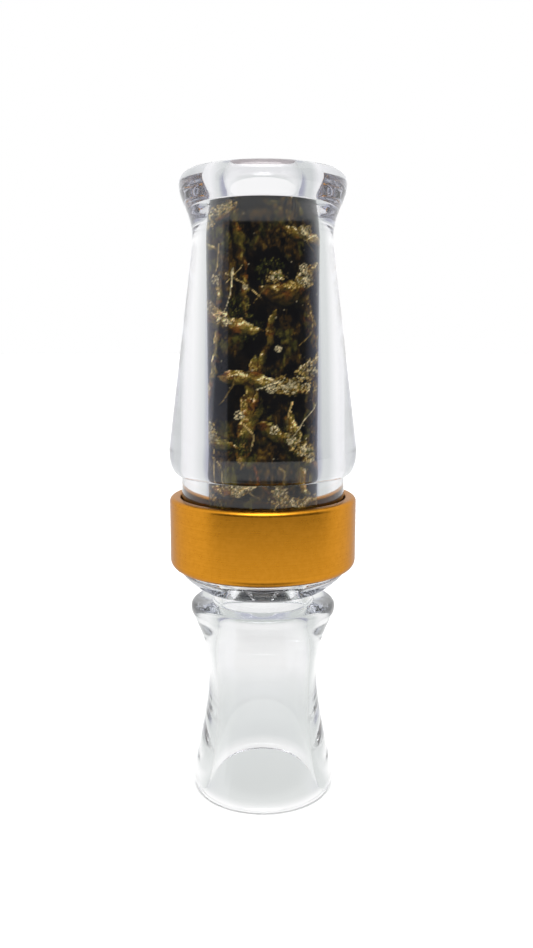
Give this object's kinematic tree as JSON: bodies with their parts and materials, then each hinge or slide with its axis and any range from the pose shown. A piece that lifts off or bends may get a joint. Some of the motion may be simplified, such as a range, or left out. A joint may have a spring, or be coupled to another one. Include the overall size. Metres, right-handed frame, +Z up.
{
  "type": "duck call",
  "caption": "Clear plastic duck call with a printed woodland sleeve, a satin metal band, reeds on a tone board and a waisted exhaust bell; air blown in at the lip sounds the reeds.",
  "frame": {"origin": "centre of the bell's rim, on the plane that the call stands on", "axes": "+Z up the centre line from the bell to the lip, the reeds face -Y, +X to the right"},
  "size_m": [0.0406, 0.0406, 0.1349],
  "materials": {
    "clear_plastic": "polished clear",
    "printed_film": "printed woodland pattern",
    "liner_plastic": "satin warm grey",
    "gold_metal": "satin gold",
    "cork": "cork grain",
    "reed_film": "frosted film",
    "ring_rubber": "matt"
  },
  "bodies": {
    "insert_body": {"insert": "clear_plastic", "wedge": "cork", "long_reed_base": "reed_film", "short_reed_base": "reed_film"},
    "seals": {"o_ring_lower": "ring_rubber", "o_ring_upper": "ring_rubber"},
    "barrel_body": {"barrel": "clear_plastic", "camo_wrap": "printed_film", "liner_tube": "liner_plastic", "band": "gold_metal"},
    "long_reed": {"long_reed_tongue": "reed_film"},
    "short_reed": {"short_reed_tongue": "reed_film"}
  },
  "joints": [
    {"name": "barrel_turn", "type": "hinge", "parent": "insert_body", "child": "seals", "pos_m": [0, 0, 0.0562], "axis": [0, 0, 1], "continuous": true},
    {"name": "barrel_pull", "type": "slide", "parent": "seals", "child": "barrel_body", "axis": [0, 0, 1], "range_m": [0, 0.068]},
    {"name": "long_reed_flex", "type": "hinge", "parent": "insert_body", "child": "long_reed", "pos_m": [0, 0.00088, 0.09305], "axis": [1, 0, 0], "range_deg": [-3.2, 3], "stiffness_Nm_per_rad": 0.002},
    {"name": "short_reed_flex", "type": "hinge", "parent": "insert_body", "child": "short_reed", "pos_m": [0, 0.0006, 0.09305], "axis": [1, 0, 0], "range_deg": [-3.2, 3], "stiffness_Nm_per_rad": 0.002}
  ],
  "couplings": [
    {"joint": "short_reed_flex", "follows": "long_reed_flex", "ratio": 1}
  ]
}
